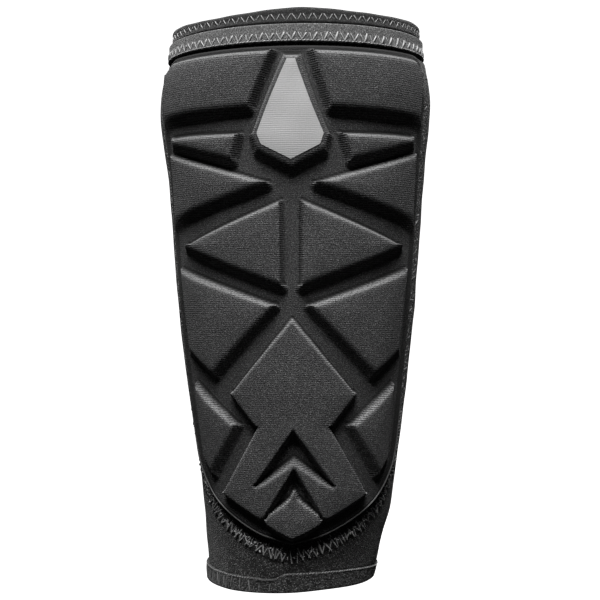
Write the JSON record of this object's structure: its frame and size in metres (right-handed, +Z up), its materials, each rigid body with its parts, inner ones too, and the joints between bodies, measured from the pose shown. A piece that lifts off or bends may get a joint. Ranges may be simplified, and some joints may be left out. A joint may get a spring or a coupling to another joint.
{
  "type": "padded forearm guard sleeve",
  "caption": "Tapered knitted sleeve for the forearm, open at both ends, with a moulded foam pad of raised geometric blocks on its front.",
  "frame": {"origin": "on the axis of the arm that wears it, at half the guard's length", "axes": "+Z up the arm from the wrist to the elbow, the pad faces -Y, +X to the right as the pad is looked at"},
  "size_m": [0.1189, 0.095, 0.2417],
  "materials": {
    "sleeve_knit": "black ribbed terry knit, matt, with paler flecks",
    "band_elastic": "grey melange elastic, woven",
    "welt_elastic": "dark grey folded knit with pale zigzag thread",
    "hem_knit": "black folded knit with loop marks",
    "pad_cloth": "charcoal knitted cloth moulded over foam, fine cross lines",
    "print_film": "light grey heat-pressed film, satin"
  },
  "bodies": {
    "root": {"sleeve": "sleeve_knit", "top_band": "band_elastic", "top_welt": "welt_elastic", "bottom_hem": "hem_knit", "pad": "pad_cloth", "print_panel": "print_film"}
  },
  "joints": []
}
